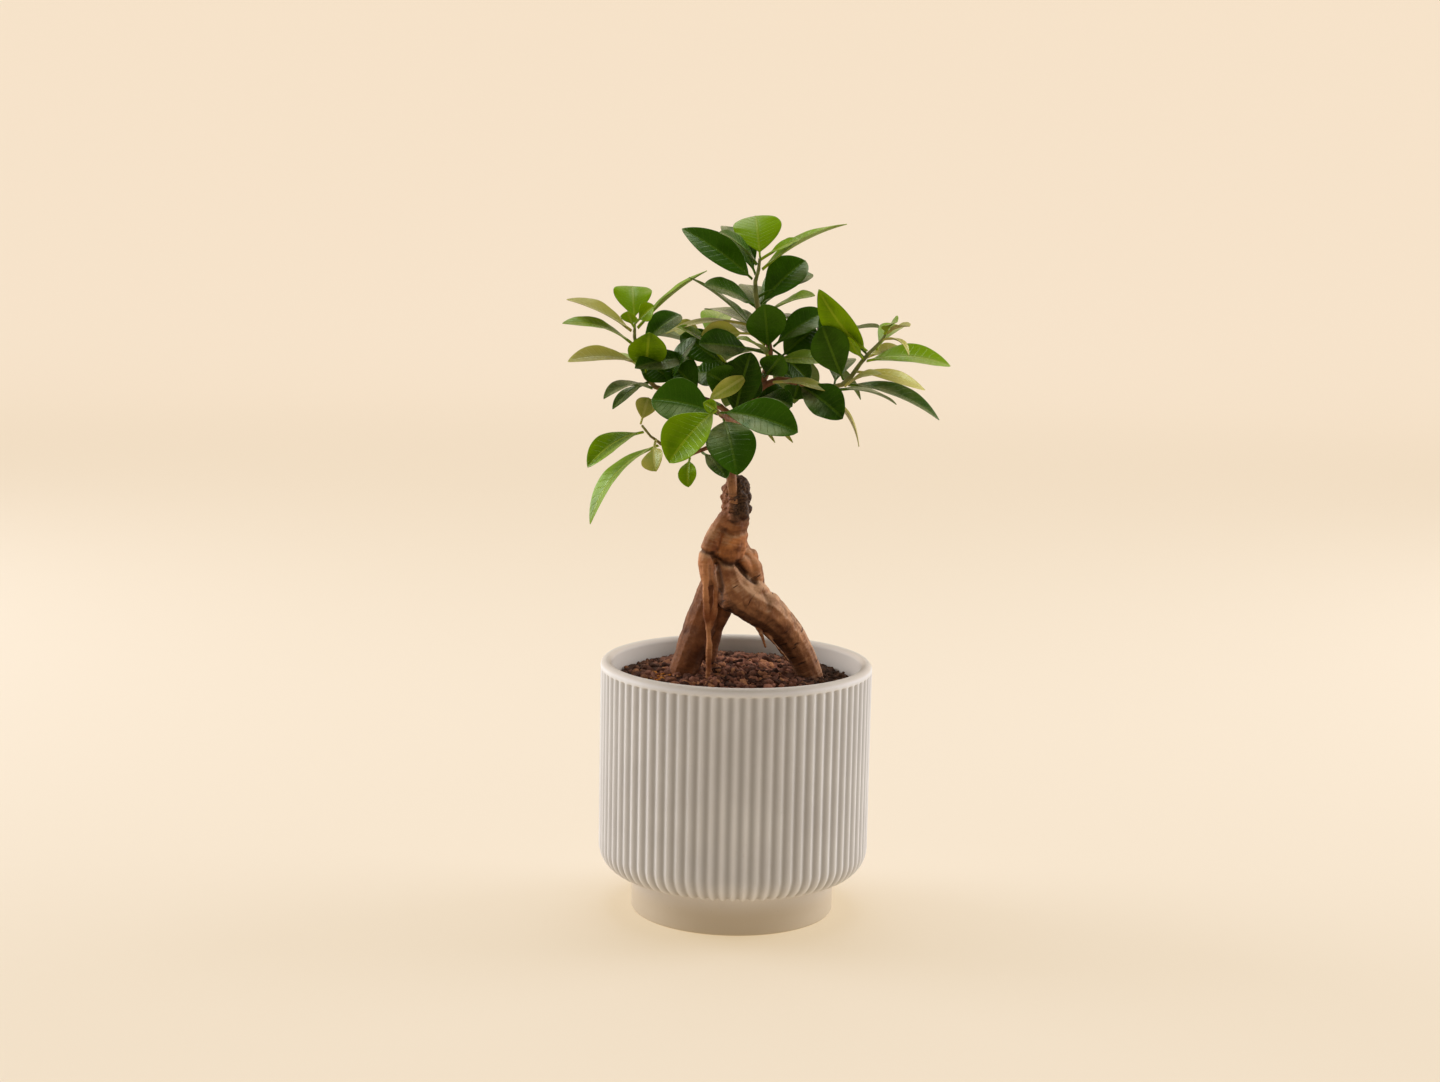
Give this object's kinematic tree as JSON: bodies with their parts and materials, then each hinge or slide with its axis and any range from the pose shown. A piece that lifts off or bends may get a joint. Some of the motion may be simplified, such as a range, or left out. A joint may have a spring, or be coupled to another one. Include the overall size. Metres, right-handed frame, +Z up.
{
  "type": "potted ficus bonsai",
  "caption": "Ginseng-style ficus bonsai standing on swollen open roots in a ribbed cylindrical ceramic pot with a plain foot.",
  "frame": {"origin": "centre of the pot's flat underside", "axes": "+Z up along the pot's axis, -Y towards the plant's front, +X to its right"},
  "size_m": [0.1954, 0.1501, 0.3584],
  "materials": {
    "pot_ceramic": "matt light grey",
    "potting_mix": "coarse damp bark mix",
    "trunk_bark": "smooth tan bark, rough at the cut top",
    "branch_bark": "matt young bark",
    "leaf_mature": "waxy dark green",
    "leaf_fresh": "waxy lime green",
    "leaf_young": "soft pale green"
  },
  "bodies": {
    "root": {"pot": "pot_ceramic", "soil": "potting_mix", "trunk": "trunk_bark", "branches": "branch_bark", "leaf_top_1": "leaf_fresh", "leaf_top_2": "leaf_mature", "leaf_top_3": "leaf_mature", "leaf_top_4": "leaf_fresh", "leaf_top_5": "leaf_mature", "leaf_top_6": "leaf_fresh", "leaf_top_7": "leaf_mature", "leaf_top_8": "leaf_mature", "leaf_top_9": "leaf_mature", "leaf_top_10": "leaf_mature", "leaf_top_11": "leaf_fresh", "leaf_top_12": "leaf_fresh", "leaf_top_13": "leaf_mature", "leaf_top_14": "leaf_mature", "leaf_top_15": "leaf_mature", "leaf_top_16": "leaf_mature", "leaf_right_1": "leaf_fresh", "leaf_right_2": "leaf_mature", "leaf_right_3": "leaf_mature", "leaf_right_4": "leaf_mature", "leaf_right_5": "leaf_young", "leaf_right_6": "leaf_mature", "leaf_right_7": "leaf_mature", "leaf_right_8": "leaf_fresh", "leaf_right_9": "leaf_young", "leaf_right_10": "leaf_young", "leaf_front_1": "leaf_mature", "leaf_front_2": "leaf_mature", "leaf_front_3": "leaf_fresh", "leaf_front_4": "leaf_mature", "leaf_front_5": "leaf_mature", "leaf_left_1": "leaf_mature", "leaf_left_2": "leaf_fresh", "leaf_left_3": "leaf_young", "leaf_left_4": "leaf_fresh", "leaf_left_5": "leaf_mature", "leaf_left_6": "leaf_fresh", "leaf_left_7": "leaf_fresh", "leaf_left_8": "leaf_young", "leaf_left_9": "leaf_mature", "leaf_low_1": "leaf_young", "leaf_low_2": "leaf_fresh", "leaf_low_3": "leaf_fresh", "leaf_low_4": "leaf_mature", "leaf_low_5": "leaf_fresh", "leaf_back_left_1": "leaf_young", "leaf_back_left_2": "leaf_mature", "leaf_back_left_3": "leaf_fresh", "leaf_back_left_4": "leaf_mature", "leaf_back_1": "leaf_mature", "leaf_back_2": "leaf_mature", "leaf_back_3": "leaf_mature", "leaf_back_right_1": "leaf_mature", "leaf_back_right_2": "leaf_fresh", "leaf_back_right_3": "leaf_mature"}
  },
  "joints": []
}
